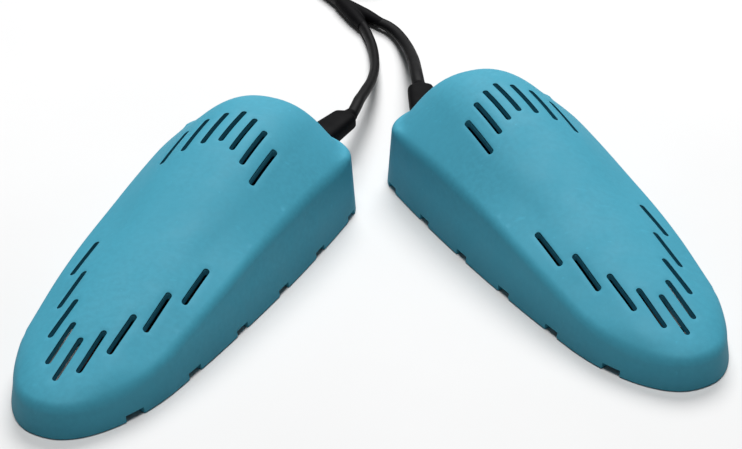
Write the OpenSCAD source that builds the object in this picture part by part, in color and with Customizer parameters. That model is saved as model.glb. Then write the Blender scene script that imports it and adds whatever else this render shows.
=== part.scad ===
// A pair of shoe-shaped electric boot dryers on one mains lead.
// Millimetres, +Z up. The origin is on the resting surface, at the centre of the box
// around the two shells. Each dryer is drawn toe at u = 0 and heel at u = body_len,
// with v across it (positive to the left when looking from toe to heel).

/* [Shell] */
// Length of one dryer from toe to heel
body_len = 155; // [150:1:158]
// Half-width of the rim at its widest
rim_half = 31.8; // [31:0.1:33]
// Thickness of the shell's wall
wall = 2; // [1.8:0.1:2.2]
// Lean of the side wall between rim and shoulder
draft = 1.2; // [0.8:0.1:1.4]
// Radius of the rounded shoulder between side wall and top
shoulder_r = 4.5; // [3.5:0.5:5]

/* [Vents] */
// Width of a slot in the shell
slot_w = 1.9; // [1.6:0.1:2.2]
// Length of the slots over the heel
heel_slot_len = 17.4; // [16:0.1:18]
// Length of the slots over the toe
toe_slot_len = 15; // [14:0.1:15.5]
// Distance between the notches along the rim
notch_pitch = 23.7; // [23:0.1:24]
// Length of a rim notch
notch_len = 5.6; // [4:0.1:7]
// Height of a rim notch
notch_h = 2; // [1:0.1:2.4]

/* [Pair] */
// Heading of the left dryer, from toe to heel
left_yaw = 66.2; // [64:0.1:68]
// Heading of the right dryer, from toe to heel
right_yaw = 115.1; // [113:0.1:117]

/* [Cord] */
// Diameter of the lead to each dryer
lead_d = 4; // [3.8:0.1:4.2]
// Diameter of the trunk between junction and plug
trunk_d = 5; // [4.8:0.1:5.2]
// Columns of turns in the coil
coil_columns = 3; // [3:1:3]
// Layers of turns in the coil
coil_layers = 2; // [2:1:2]

/* [Plug] */
// Diameter of a plug pin
pin_d = 4; // [3.9:0.1:4]
// Length of a plug pin
pin_len = 19; // [18:0.5:19]
// Distance between the pins
pin_pitch = 18.6; // [17.5:0.1:18.6]

/* [Hidden] */
$fn = 48;

// ---- plan of the shell's rim ----
widest_at = 130;
flank_taper = 0.00078;
toe_cap = 34;
toe_power = 2.35;
heel_cap = 19;
heel_power = 2.15;

function cap(ratio, power) = pow(max(0, 1 - pow(ratio, power)), 1 / power);
function flank(u) = rim_half - flank_taper * pow(widest_at - u, 2);
function rim(u) =
    flank(u)
    * (u < toe_cap ? cap(1 - u / toe_cap, toe_power) : 1)
    * (u > body_len - heel_cap ? cap((u - body_len + heel_cap) / heel_cap, heel_power) : 1);

// ---- heights along the shell, each a smooth curve through [u, value] stations ----
shoulder_z = [[0, 8.9], [10, 9.4], [30, 11.3], [50, 15.2], [75, 18.9], [100, 21.4], [120, 22.1], [155, 19.4]];
extra_lean = [[0, 0], [30, 0.1], [55, 0.7], [80, 1.6], [105, 1.2], [125, 0.4], [155, 0]];
crease_z = [[0, 11], [30, 16.2], [50, 20.8], [70, 23.6], [90, 27.6], [110, 30.6], [125, 31.5], [155, 29]];
crease_v = [[0, 12], [30, 13], [50, 13.5], [70, 15.5], [95, 18], [125, 18.6], [155, 18]];
crown_z = [[0, 11.5], [15, 14.6], [30, 18.6], [50, 23], [70, 27.6], [90, 33], [110, 37.6], [125, 39],
    [140, 38.5], [155, 37.7]];

function station(t, i) = t[max(0, min(len(t) - 1, i))];
function gradient(t, i) =
    (station(t, i + 1)[1] - station(t, i - 1)[1]) / (station(t, i + 1)[0] - station(t, i - 1)[0]);
function span_at(t, x, i = 0) = i >= len(t) - 2 || x < t[i + 1][0] ? i : span_at(t, x, i + 1);
function curve(t, x) =
    let (i = span_at(t, x), h = t[i + 1][0] - t[i][0], s = (x - t[i][0]) / h)
    (2 * pow(s, 3) - 3 * pow(s, 2) + 1) * t[i][1]
    + (pow(s, 3) - 2 * pow(s, 2) + s) * h * gradient(t, i)
    + (3 * pow(s, 2) - 2 * pow(s, 3)) * t[i + 1][1]
    + (pow(s, 3) - pow(s, 2)) * h * gradient(t, i + 1);

// ---- the shell's top surface ----
shoulder_sweep = 60;
crown_power = 2.4;
toe_fall = 30;
heel_fall = 28;

function lean(u) = draft + curve(extra_lean, u);
function shoulder_inset(u) = lean(u) + shoulder_r * (1 - cos(shoulder_sweep));
function wall_top(u) = curve(shoulder_z, u) - shoulder_r * 0.57;
function top_edge(u) = wall_top(u) + shoulder_r * sin(shoulder_sweep);
function across(u, v) =
    let (k = curve(crease_v, u), s = curve(crease_z, u), e = top_edge(u), w = flank(u) - shoulder_inset(u))
    abs(v) > k
        ? e + (s - e) * (w - abs(v)) / (w - k)
        : s + (curve(crown_z, u) - s) * (1 - pow(abs(v) / k, crown_power));
function toe_edge(u, v) =
    toe_cap * (1 - cap(min(1, abs(v) / (flank(u) - shoulder_inset(u))), toe_power)) + shoulder_inset(u);
function heel_edge(u, v) =
    body_len - shoulder_inset(u)
    - heel_cap * (1 - cap(min(1, abs(v) / (flank(u) - shoulder_inset(u))), heel_power));
function toe_fade(u, v) =
    cap(max(0, min(1, (toe_fall - u) / (toe_fall - toe_edge(u, v)))), 2.4);
function heel_fade(u, v) =
    let (start = body_len - heel_fall)
    cap(max(0, min(1, (u - start) / (heel_edge(u, v) - start))), 2.2);
function top_z(u, v) =
    let (e = top_edge(u)) e + (across(u, v) - e) * toe_fade(u, v) * heel_fade(u, v);

// ---- rings of points that stack up into the shell's outer or inner form ----
half_points = 30;
spine_toe = 24;
spine_heel = body_len - 27;
wall_steps = 1;
fillet_steps = 3;
top_rings = [1, 0.89, 0.78, 0.68, 0.6, 0.52, 0.4, 0.25, 0.08];

function rim_point(j) =
    let (u = body_len / 2 * (1 - cos(180 * j / half_points))) [u, rim(u)];
function inset_point(j, inset, keep = 1) =
    let (p = rim_point(j), a = [max(spine_toe, min(spine_heel, p[0])), 0], d = p - a)
    a + d * (1 - inset / norm(d)) * keep;
function wall_ring(j, t, skin, floor_z) =
    let (u = rim_point(j)[0], p = inset_point(j, lean(u) * t + skin), z = wall_top(u) - skin)
    [p[0], p[1], floor_z + (z - floor_z) * t];
function fillet_ring(j, angle, skin) =
    let (u = rim_point(j)[0], p = inset_point(j, lean(u) + shoulder_r * (1 - cos(angle)) + skin))
    [p[0], p[1], wall_top(u) + shoulder_r * sin(angle) - skin];
function top_ring(j, keep, skin) =
    let (p = inset_point(j, shoulder_inset(rim_point(j)[0]) + skin, keep))
    [p[0], p[1], top_z(p[0], p[1]) - skin * 1.1];
function half_ring(i, j, skin, floor_z) =
    i <= wall_steps ? wall_ring(j, i / wall_steps, skin, floor_z)
    : i < wall_steps + fillet_steps ? fillet_ring(j, shoulder_sweep * (i - wall_steps) / fillet_steps, skin)
    : top_ring(j, top_rings[i - wall_steps - fillet_steps], skin);
ring_count = wall_steps + fillet_steps + len(top_rings);
ring_size = 2 * half_points;

// The shell's form filled solid; skin moves every face inwards by that much
module form(skin = 0, floor_z = 0) {
    points = [
        for (i = [0 : ring_count - 1]) each concat(
            [for (j = [0 : half_points]) half_ring(i, j, skin, floor_z)],
            [
                for (j = [half_points - 1 : -1 : 1])
                    let (p = half_ring(i, j, skin, floor_z)) [p[0], -p[1], p[2]]
            ]
        )
    ];
    sides = [
        for (i = [0 : ring_count - 2], j = [0 : ring_size - 1])
            let (a = i * ring_size + j, b = i * ring_size + (j + 1) % ring_size)
            each [[a, b, a + ring_size], [b, b + ring_size, a + ring_size]]
    ];
    polyhedron(points, concat(sides, cap_faces(0, false), cap_faces(ring_count - 1, true)));
}

// Faces that close a ring with strips from its left half to its right half
function cap_faces(i, up) = [
    for (j = [0 : half_points - 1])
        let (
            a = i * ring_size + j, b = a + 1,
            c = i * ring_size + (ring_size - j - 1), d = i * ring_size + (ring_size - j) % ring_size,
            strip = j == 0 ? [[a, b, c]] : j == half_points - 1 ? [[a, b, d]] : [[a, b, c], [a, c, d]]
        )
        each [for (f = strip) up ? f : [f[0], f[2], f[1]]]
];

// ---- slots, notches and screws ----
heel_slot_u = 115.7;
heel_slot_back = [0, 2.4, 5.9, 10.2];
heel_slot_v = [0, 5.1, 10.3, 15.7];
toe_slot_u = 16.8;
toe_slot_on = [0, 4.3, 12.9, 24.7, 38.9];
toe_slot_v = [0, 5, 9.6, 14.2, 18.7];
slot_z = 6;
notch_first = 17.3;
notch_count = 6;
screw_spots = [[26, 15.3], [26, -15.3], [126, 23.6], [126, -23.6]];
cover_z = 3;
cover_t = 2;
cover_gap = 0.4;
pilot_r = 1.35;
screw_r = 1.3;

module slot(u, v, length) {
    r = slot_w / 2;
    hull() {
        for (s = [-1, 1]) {
            translate([u + s * (length / 2 - r), v, slot_z]) {
                cylinder(r = r, h = 50, $fn = 16);
            }
        }
    }
}

module slots() {
    for (i = [0 : len(heel_slot_v) - 1], s = i == 0 ? [1] : [-1, 1]) {
        slot(heel_slot_u - heel_slot_back[i], s * heel_slot_v[i], heel_slot_len);
    }
    for (i = [0 : len(toe_slot_v) - 1], s = i == 0 ? [1] : [-1, 1]) {
        slot(toe_slot_u + toe_slot_on[i], s * toe_slot_v[i], toe_slot_len);
    }
}

module notches() {
    for (i = [0 : notch_count - 1]) {
        translate([notch_first + i * notch_pitch - notch_len / 2, -40, -1])
            cube([notch_len, 80, notch_h + 1]);
    }
}

module at_screws() {
    for (p = screw_spots) translate([p[0], p[1], 0]) children();
}

// ---- strain relief and the lead inside the dryer ----
relief_u = 151;
relief_v = 10.6;
relief_z = 16;
relief_turn = [-8.5, -19.5];
flange_x = [-5.4, -8.8];
relief_w = 11.4;
relief_h = 6.8;
relief_edge = 2.7;
shoulder_x = 20;
relief_len = 24.2;
pivot_x = 25.7;
clamp_u = 136;
tail_z = 9;

// The side of the dryer that its cord is on; i is 0 for the left dryer, 1 for the right
function side(i) = i == 0 ? -1 : 1;

// Draws along the strain relief's axis: x outwards from the shell's wall
module relief_frame(i) {
    translate([relief_u, side(i) * relief_v, relief_z]) rotate([0, 0, relief_turn[i]]) children();
}

// A slice through the strain relief: flat sides of the given height, bevelled to the top
module slice(x, length, w, h, edge) {
    bevel = (h - edge) / 2;
    corner = [[w / 2, edge / 2], [w / 2 - bevel, h / 2]];
    outline = concat(
        corner,
        [[-corner[1][0], corner[1][1]], [-corner[0][0], corner[0][1]]],
        -corner,
        [[corner[1][0], -corner[1][1]], [corner[0][0], -corner[0][1]]]
    );
    translate([x, 0, 0]) rotate([90, 0, 90]) linear_extrude(length) polygon(outline);
}

// ---- a round cord or wire: one closed skin around a route of points ----
function unit(v) = v / norm(v);
function heading(path, k) =
    unit(path[min(len(path) - 1, k + 1)] - path[max(0, k - 1)]);

module tube(path, d, sides) {
    points = [
        for (k = [0 : len(path) - 1]) let (
            t = heading(path, k), side = unit(cross(t, [0, 0, 1])), rise = cross(side, t)
        )
        for (j = [0 : sides - 1]) let (a = 360 * (j + 0.5) / sides)
        path[k] + (side * cos(a) + rise * sin(a)) * d / 2
    ];
    skin = [
        for (k = [0 : len(path) - 2], j = [0 : sides - 1])
            let (a = k * sides + j, b = k * sides + (j + 1) % sides)
            [a, b, b + sides, a + sides]
    ];
    first = [for (j = [sides - 1 : -1 : 0]) j];
    last = [for (j = [0 : sides - 1]) (len(path) - 1) * sides + j];
    polyhedron(points, concat(skin, [first, last]));
}

// ---- one dryer's pieces, each in the dryer's own frame ----
shell_colour = [0.29, 0.61, 0.70];

module upper_shell(i) {
    color(shell_colour) difference() {
        union() {
            difference() {
                form();
                form(wall, -1);
            }
            intersection() {
                form(wall / 2);
                at_screws() translate([0, 0, cover_z + cover_t]) cylinder(r = 3.1, h = 40, $fn = 24);
            }
        }
        slots();
        notches();
        at_screws() translate([0, 0, -1]) cylinder(r = pilot_r, h = 12, $fn = 24);
        relief_frame(i) slice(-7, 13, relief_w + 0.4, relief_h + 0.4, relief_edge + 0.2);
    }
}

// How far the inner wall leans inwards at the height of the cover's top edge
function cover_lean(j) =
    let (u = rim_point(j)[0]) lean(u) * min(1.3, (cover_z + cover_t + 1) / (wall_top(u) - wall + 1));

module cover_outline() {
    edge = [for (j = [0 : half_points]) inset_point(j, wall + cover_gap + cover_lean(j))];
    back = [for (j = [half_points - 1 : -1 : 1]) [edge[j][0], -edge[j][1]]];
    polygon(concat(edge, back));
}

module lower_cover(i) {
    color([0.22, 0.47, 0.55]) difference() {
        union() {
            translate([0, 0, cover_z]) linear_extrude(cover_t) cover_outline();
            for (u = [60, 104], v = [-13, 13]) translate([u, v, cover_z]) cylinder(r = 2.2, h = 3.4);
            translate([clamp_u - 3, side(i) * relief_v - 9, cover_z]) cube([6, 18, 4]);
        }
        for (u = [38 : 7 : 52], v = [-12, 0, 12]) translate([u, v - 4.5, 0]) cube([2.2, 9, 8]);
        for (u = [66 : 7 : 94], v = [-16, 0, 16]) translate([u, v - 5.5, 0]) cube([2.2, 11, 8]);
        for (u = [112 : 6 : 124], v = [-9, 9]) translate([u, v - 5.5, 0]) cube([2.2, 11, 8]);
        at_screws() cylinder(r = 1.7, h = 12);
        for (s = [-1, 1]) translate([clamp_u, side(i) * relief_v + s * 6.5, 0]) cylinder(r = 1.1, h = 12);
    }
}

module cover_screws() {
    color([0.72, 0.72, 0.74]) at_screws() difference() {
        union() {
            translate([0, 0, 1.2]) cylinder(r = 2.8, h = cover_z - 1.2);
            translate([0, 0, cover_z]) cylinder(r = screw_r, h = 7.5);
        }
        translate([-2, -0.4, 0]) cube([4, 0.8, 1.9]);
        translate([-0.4, -2, 0]) cube([0.8, 4, 1.9]);
    }
}

mica_z = 6.4;
mica_t = 0.6;
core_u = [60, 106];
core_w = 22;
core_h = 5;
film_t = 0.4;

module mica_sheet() {
    color([0.78, 0.70, 0.52]) translate([56, -17, mica_z]) cube([52, 34, mica_t]);
}

module heater_core() {
    z = mica_z + mica_t + film_t;
    color([0.75, 0.76, 0.78]) difference() {
        translate([core_u[0], -core_w / 2, z]) cube([core_u[1] - core_u[0], core_w, core_h]);
        for (s = [-1, 1]) translate([core_u[1] - 8, s * 6 - 3.1, z + 2]) cube([10, 6.2, 1]);
    }
}

module heater_film() {
    z = mica_z + mica_t;
    color([0.80, 0.48, 0.14]) difference() {
        translate([core_u[0] + 3, -core_w / 2 - film_t, z])
            cube([core_u[1] - core_u[0] - 12, core_w + 2 * film_t, core_h + 2 * film_t]);
        translate([core_u[0], -core_w / 2, z + film_t]) cube([core_u[1] - core_u[0], core_w, core_h]);
    }
}

spread_t = 1.2;
spread_low = mica_z + mica_t;
spread_high = spread_low + core_h + 2 * film_t;

module heat_spreader() {
    t = spread_t;
    profile = [
        [14, spread_low], [46, spread_low], [56, spread_high], [106, spread_high],
        [106, spread_high + t], [55.6, spread_high + t], [45.6, spread_low + t], [14, spread_low + t]
    ];
    edge = [[14, 8], [22, 11], [31, 11.5], [36, 15], [45, 17], [45, 9.8], [58, 9.8], [58, 15], [106, 15]];
    mirrored = [for (k = [len(edge) - 1 : -1 : 0]) [edge[k][0], -edge[k][1]]];
    color([0.80, 0.81, 0.83]) difference() {
        union() {
            intersection() {
                translate([0, 40, 0]) rotate([90, 0, 0]) linear_extrude(80) polygon(profile);
                linear_extrude(40) polygon(concat(edge, mirrored));
            }
            for (v = [-15, -7.6, 6.4, 13.8]) translate([60, v, spread_high + t]) cube([44, 1.2, 4]);
        }
        for (u = [66 : 12 : 102]) translate([u, 0, 0]) cylinder(r = 2.2, h = 40);
    }
}

module terminals() {
    z = mica_z + mica_t + film_t + 2;
    color([0.80, 0.66, 0.36]) for (s = [-1, 1]) difference() {
        translate([core_u[1] - 7.8, s * 6 - 3, z + 0.1]) cube([17, 6, 0.8]);
        translate([core_u[1] + 6, s * 6, z - 1]) cylinder(r = 0.9, h = 4);
    }
}

wire_d = 1.8;
wire_z = 10.6;
wire_v = 18.5;
fuse_u = [18, 30];
fuse_z = 9.9;
terminal_z = mica_z + mica_t + film_t + 3.8;

// From beside the heater, over the toe, to the fuse; s is the side it runs along
function toe_run(s) = [
    [111, s * wire_v, wire_z], [85, s * wire_v, wire_z], [60, s * wire_v, wire_z], [55, s * 17.6, wire_z],
    [50, s * 15, wire_z], [46, s * 12.2, wire_z], [42, s * 8.6, 10.3]
];

module live_wire(i) {
    c = side(i) * relief_v;
    clamp_end = [
        [132, c + 1.1, tail_z], [129, (c + 1.1) * 0.8 + 2, 9.2], [124, (c + 14) / 2, 9.8], [119, 14.5, 10.4],
        [115, 17.4, wire_z]
    ];
    fuse_end = [[38, 4.6, 10], [34, 1.2, fuse_z], [fuse_u[1] + 1.2, 0, fuse_z]];
    color([0.45, 0.25, 0.12]) tube(concat(clamp_end, toe_run(1), fuse_end), wire_d, 8);
}

module neutral_wire(i) {
    c = side(i) * relief_v;
    route = [
        [132, c - 1.1, tail_z], [129, (c - 1.1) * 0.8, 9.3], [125, (c + 4) / 2, 10.2], [120, 5, terminal_z],
        [114.6, 6, terminal_z]
    ];
    color([0.16, 0.33, 0.62]) tube(route, wire_d, 8);
}

module fuse_wire() {
    terminal_end = [
        [114.6, -6, terminal_z], [118, -6.6, terminal_z], [120, -9, 11], [119.6, -13, 10.8],
        [116, -17, wire_z]
    ];
    fuse_end = [
        [38, -7, 10], [32, -6.6, fuse_z], [24, -6.4, fuse_z], [18.6, -6, fuse_z], [15.6, -4.6, fuse_z],
        [14.8, -2.6, fuse_z], [15.2, -0.9, fuse_z], [fuse_u[0] - 1, 0, fuse_z]
    ];
    color([0.45, 0.25, 0.12]) tube(concat(terminal_end, toe_run(-1), fuse_end), wire_d, 8);
}

module thermal_fuse() {
    color([0.85, 0.42, 0.12]) {
        translate([fuse_u[0], 0, fuse_z]) rotate([0, 90, 0]) cylinder(r = 1.7, h = fuse_u[1] - fuse_u[0]);
        translate([fuse_u[1], 0, fuse_z]) rotate([0, 90, 0]) cylinder(r = 1, h = 1.2);
        translate([fuse_u[0] - 1, 0, fuse_z]) rotate([0, 90, 0]) cylinder(r = 1, h = 1);
    }
}

module cord_clamp(i) {
    c = side(i) * relief_v;
    color([0.92, 0.92, 0.88]) difference() {
        union() {
            translate([clamp_u - 3, c - 9, tail_z + lead_d / 2]) cube([6, 18, 2.4]);
            for (s = [-1, 1]) translate([clamp_u - 3, c + s * 6.5 - 2.4, cover_z + 4]) cube([6, 4.8, 4]);
        }
        for (s = [-1, 1]) translate([clamp_u, c + s * 6.5, 0]) cylinder(r = 1.4, h = 20);
    }
}

module clamp_screws(i) {
    c = side(i) * relief_v;
    top = tail_z + lead_d / 2 + 2.4;
    color([0.72, 0.72, 0.74]) for (s = [-1, 1]) translate([clamp_u, c + s * 6.5, 0]) difference() {
        union() {
            translate([0, 0, 5]) cylinder(r = 1.05, h = top - 5);
            translate([0, 0, top]) cylinder(r = 2.3, h = 1.6);
        }
        translate([-2, -0.35, top + 0.9]) cube([4, 0.7, 2]);
    }
}

module cord_tail(i) {
    c = side(i) * relief_v;
    route = [
        [132, c, tail_z], [139, c, tail_z], [141.4, c, 10], [142.8, c, 12], [144, c - 0.2 * side(i), 14.2],
        [145.6, c + 0.2 * side(i), 15.8], [147, c + 0.4 * side(i), 16]
    ];
    color([0.06, 0.06, 0.07]) tube(route, lead_d, 8);
}

module strain_relief(i) {
    end_w = 9.2;
    end_h = 6;
    neck_r = 2.6;
    color([0.06, 0.06, 0.07]) relief_frame(i) {
        slice(flange_x[i], 2, relief_w + 2, relief_h + 3, relief_edge + 2);
        slice(flange_x[i] + 2, 1.1 - flange_x[i], relief_w, relief_h, relief_edge);
        hull() {
            slice(3, 0.1, relief_w, relief_h, relief_edge);
            slice(shoulder_x, 0.1, end_w, end_h, relief_edge);
        }
        hull() {
            slice(shoulder_x, 0.1, end_w, end_h, relief_edge);
            slice(shoulder_x + 1.6, 0.1, 2 * neck_r, 2 * neck_r, neck_r);
        }
        translate([shoulder_x + 1.6, 0, 0]) rotate([0, 90, 0])
            cylinder(r1 = neck_r, r2 = 2.4, h = relief_len - shoulder_x - 1.6);
    }
}

// ---- where the two dryers lie ----
dryer_yaw = [left_yaw, right_yaw];
dryer_mid = [[-60.3, -11], [59.2, 8.2]];
function turned(p, a) = [p[0] * cos(a) - p[1] * sin(a), p[0] * sin(a) + p[1] * cos(a)];
function laid(i, p) = dryer_mid[i] + turned([p[0] - body_len / 2, p[1]], dryer_yaw[i]);
laid_rims = [
    for (i = [0, 1], j = [0 : 180], s = [-1, 1])
        let (u = body_len / 2 * (1 - cos(j))) laid(i, [u, s * rim(u)])
];
rim_low = [min([for (p = laid_rims) p[0]]), min([for (p = laid_rims) p[1]])];
rim_high = [max([for (p = laid_rims) p[0]]), max([for (p = laid_rims) p[1]])];
middle = (rim_low + rim_high) / 2;

module dryer(i) {
    translate([dryer_mid[i][0] - middle[0], dryer_mid[i][1] - middle[1], 0])
        rotate([0, 0, dryer_yaw[i]])
        translate([-body_len / 2, 0, 0])
        children();
}

// ---- free cord: routes on the resting surface ----
left_route = [
    [-6.9, 74.5, 16], [-6.4, 79.2, 15.6], [-5.4, 84.5, 15.2], [-4, 91.6, 13.9], [-2.6, 99, 12.6],
    [-1.3, 107.3, 10.8], [-0.4, 116, 9], [0.2, 125, 7.2], [0.3, 134, 5.5], [0.1, 143.5, 4.2],
    [-0.6, 153.3, 3.2], [-1.8, 161.4, 2.9], [-3.2, 168, 2.9], [-4.8, 173.5, 3]
];
right_route = [
    [15.8, 97, 16], [15.6, 101.5, 15.8], [15.4, 107.6, 14.8], [15.1, 118.6, 12.4], [14.8, 125.5, 10.8],
    [14.4, 132.4, 9], [13.8, 140, 7.2], [13, 147.7, 5.5], [11.1, 159, 3.6], [8.5, 167.2, 3], [5.5, 172.4, 3],
    [2.7, 175.5, 3]
];
split_out = [-13.6, 195.5, 3];
splitter_r = 2.9;
coil_at = [-2, 250];
coil_r = 28;
coil_z = 3.5;
coil_outer = coil_r + trunk_d;
trunk_route = [
    split_out, [-17.6, 203, 2.6], [-22.6, 212, 2.5], [-27.6, 222, 2.6], [-31.8, 232, 2.9], [-34.2, 241, 3.3],
    [coil_at[0] - coil_outer, coil_at[1], coil_z]
];
tail_route = [
    [coil_at[0], coil_at[1] + coil_outer, coil_z + trunk_d], [8, 283.2, 8.3], [17, 283.6, 7.5], [26, 284, 7]
];
plug_at = [26, 284, 7];
plug_boot = 22;
plug_len = 35;
plug_w = 26;
plug_h = 13.8;

module lead(route) {
    color([0.06, 0.06, 0.07]) tube(route, lead_d, 8);
}

module cord_splitter() {
    color([0.07, 0.07, 0.08]) for (route = [left_route, right_route]) hull() {
        translate(route[len(route) - 1] + [-1.2, 2.4, 0]) sphere(r = splitter_r, $fn = 24);
        translate(split_out - [-1.2, 2.6, 0]) sphere(r = splitter_r, $fn = 24);
    }
}

module trunk_cord() {
    color([0.06, 0.06, 0.07]) tube(trunk_route, trunk_d, 10);
}

module cord_coil() {
    inner = coil_r - coil_columns * trunk_d / 2;
    color([0.06, 0.06, 0.07]) translate([coil_at[0], coil_at[1], coil_z - trunk_d / 2])
        rotate_extrude($fn = 96)
        translate([inner, 0]) square([coil_columns * trunk_d, coil_layers * trunk_d]);
}

module coil_tie() {
    span = coil_columns * trunk_d;
    color([0.10, 0.10, 0.11]) translate([coil_at[0], coil_at[1] - coil_r, 0]) difference() {
        translate([-4, -span / 2 - 0.9, 0.1]) cube([8, span + 2.3, coil_layers * trunk_d + 1.8]);
        translate([-5, -span / 2 - 0.1, 0.9]) cube([10, span + 0.7, coil_layers * trunk_d + 0.2]);
    }
}

module plug_tail() {
    color([0.06, 0.06, 0.07]) tube(tail_route, trunk_d, 10);
}

module plug_body() {
    color([0.07, 0.07, 0.08]) translate(plug_at) {
        rotate([0, 90, 0]) cylinder(r1 = 3.4, r2 = 4.6, h = plug_boot);
        hull() {
            translate([plug_boot, -6, -5.5]) cube([1, 12, 11]);
            translate([plug_boot + 14, -plug_w / 2, -plug_h / 2]) cube([1, plug_w, plug_h]);
        }
        hull() {
            translate([plug_boot + 14, -plug_w / 2, -plug_h / 2]) cube([1, plug_w, plug_h]);
            translate([plug_boot + plug_len - 1, -plug_w / 2 + 1.5, -plug_h / 2 + 0.5])
                cube([1, plug_w - 3, plug_h - 1]);
        }
    }
}

module plug_pins() {
    color([0.78, 0.74, 0.62]) for (s = [-1, 1])
        translate(plug_at + [plug_boot + plug_len, s * pin_pitch / 2, 0])
        rotate([0, 90, 0]) cylinder(d = pin_d, h = pin_len);
}

dryer(0) upper_shell(0);  // left_upper_shell
dryer(0) lower_cover(0);  // left_lower_cover
dryer(0) cover_screws();  // left_cover_screws
dryer(0) mica_sheet();  // left_mica_sheet
dryer(0) heater_core();  // left_heater_core
dryer(0) heater_film();  // left_heater_film
dryer(0) heat_spreader();  // left_heat_spreader
dryer(0) terminals();  // left_terminals
dryer(0) live_wire(0);  // left_live_wire
dryer(0) neutral_wire(0);  // left_neutral_wire
dryer(0) fuse_wire();  // left_fuse_wire
dryer(0) thermal_fuse();  // left_thermal_fuse
dryer(0) cord_clamp(0);  // left_cord_clamp
dryer(0) clamp_screws(0);  // left_clamp_screws
dryer(0) cord_tail(0);  // left_cord_tail
dryer(0) strain_relief(0);  // left_strain_relief
lead(left_route);  // left_lead
dryer(1) upper_shell(1);  // right_upper_shell
dryer(1) lower_cover(1);  // right_lower_cover
dryer(1) cover_screws();  // right_cover_screws
dryer(1) mica_sheet();  // right_mica_sheet
dryer(1) heater_core();  // right_heater_core
dryer(1) heater_film();  // right_heater_film
dryer(1) heat_spreader();  // right_heat_spreader
dryer(1) terminals();  // right_terminals
dryer(1) live_wire(1);  // right_live_wire
dryer(1) neutral_wire(1);  // right_neutral_wire
dryer(1) fuse_wire();  // right_fuse_wire
dryer(1) thermal_fuse();  // right_thermal_fuse
dryer(1) cord_clamp(1);  // right_cord_clamp
dryer(1) clamp_screws(1);  // right_clamp_screws
dryer(1) cord_tail(1);  // right_cord_tail
dryer(1) strain_relief(1);  // right_strain_relief
lead(right_route);  // right_lead
cord_splitter();
trunk_cord();
cord_coil();
coil_tie();
plug_tail();
plug_body();
plug_pins();
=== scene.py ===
"""A pair of shoe-shaped boot dryers on one forked mains lead, on a pale floor.

Lengths here are millimetres, in each dryer's own frame (toe at u = 0, heel at u = BODY_LEN, v to the
left, z up) or in the model's frame, and MM turns them into metres. The lights, the floor and the
scales and depths in the materials are in metres already.
"""

import math

import bmesh
import bpy
import numpy as np
from mathutils import Matrix, Vector
from mathutils.geometry import delaunay_2d_cdt


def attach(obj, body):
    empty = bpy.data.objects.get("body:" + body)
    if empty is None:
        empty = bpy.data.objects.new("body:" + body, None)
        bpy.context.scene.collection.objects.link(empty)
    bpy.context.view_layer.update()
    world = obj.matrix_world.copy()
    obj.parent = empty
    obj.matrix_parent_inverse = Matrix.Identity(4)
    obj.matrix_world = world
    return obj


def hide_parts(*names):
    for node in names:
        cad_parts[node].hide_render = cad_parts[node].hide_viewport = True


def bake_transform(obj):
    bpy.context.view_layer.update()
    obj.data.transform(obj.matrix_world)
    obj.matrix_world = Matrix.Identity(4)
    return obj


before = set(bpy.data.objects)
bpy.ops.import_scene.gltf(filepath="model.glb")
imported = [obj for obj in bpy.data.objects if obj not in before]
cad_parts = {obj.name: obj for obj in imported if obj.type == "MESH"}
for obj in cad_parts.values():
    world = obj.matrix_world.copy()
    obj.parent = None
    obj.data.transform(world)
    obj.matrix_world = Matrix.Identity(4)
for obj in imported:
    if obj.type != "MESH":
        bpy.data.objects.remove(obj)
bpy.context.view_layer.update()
scene = bpy.context.scene
MM = 0.001
SIDES = ("left", "right")

# ---------------------------------------------------------------- camera, floor and light
CAMERA_AT = (-1.4, -415.2, 276.8)
CAMERA_PITCH = 57.87
CAMERA_ROLL = -0.25
LENS = 76.8
SENSOR = 36


def add_camera():
    data = bpy.data.cameras.new("camera")
    data.lens = LENS
    data.sensor_width = SENSOR
    data.clip_start = 0.01
    camera = bpy.data.objects.new("camera", data)
    pitch = Matrix.Rotation(math.radians(CAMERA_PITCH), 4, "X")
    tilt = pitch @ Matrix.Rotation(math.radians(CAMERA_ROLL), 4, "Z")
    camera.matrix_world = Matrix.Translation(Vector(CAMERA_AT) * MM) @ tilt
    scene.collection.objects.link(camera)
    scene.camera = camera


def add_light(name, at, size, power):
    data = bpy.data.lights.new(name, "AREA")
    data.shape = "DISK"
    data.size = size
    data.energy = power
    lamp = bpy.data.objects.new(name, data)
    lamp.location = at
    lamp.rotation_euler = (-Vector(at)).to_track_quat("-Z", "Y").to_euler()
    scene.collection.objects.link(lamp)


def add_world(colour, strength):
    world = bpy.data.worlds.new("studio")
    world.use_nodes = True
    background = world.node_tree.nodes["Background"]
    background.inputs["Color"].default_value = (*colour, 1)
    background.inputs["Strength"].default_value = strength
    scene.world = world


# ---------------------------------------------------------------- materials
# Height in metres up to which painted shade darkens the shell's colour, standing in for the shade at the foot
# of its walls.
PAINTED_SHADE_TOP = 0.011
SHELL_BLUE = (63, 147, 170)
CORD_BLACK = (9, 9, 11)


def new_material(name):
    material = bpy.data.materials.new(name)
    material.use_nodes = True
    tree = material.node_tree
    return material, tree, tree.nodes["Principled BSDF"]


def add_noise(tree, scale, detail=4.0, stretch=None):
    """A noise texture in object space; scale is in features per metre."""
    coords = tree.nodes.new("ShaderNodeTexCoord")
    noise = tree.nodes.new("ShaderNodeTexNoise")
    noise.inputs["Scale"].default_value = scale
    noise.inputs["Detail"].default_value = detail
    source = coords.outputs["Object"]
    if stretch:
        mapping = tree.nodes.new("ShaderNodeMapping")
        mapping.inputs["Scale"].default_value = stretch
        tree.links.new(source, mapping.inputs["Vector"])
        source = mapping.outputs["Vector"]
    tree.links.new(source, noise.inputs["Vector"])
    return noise.outputs["Fac"]


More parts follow.
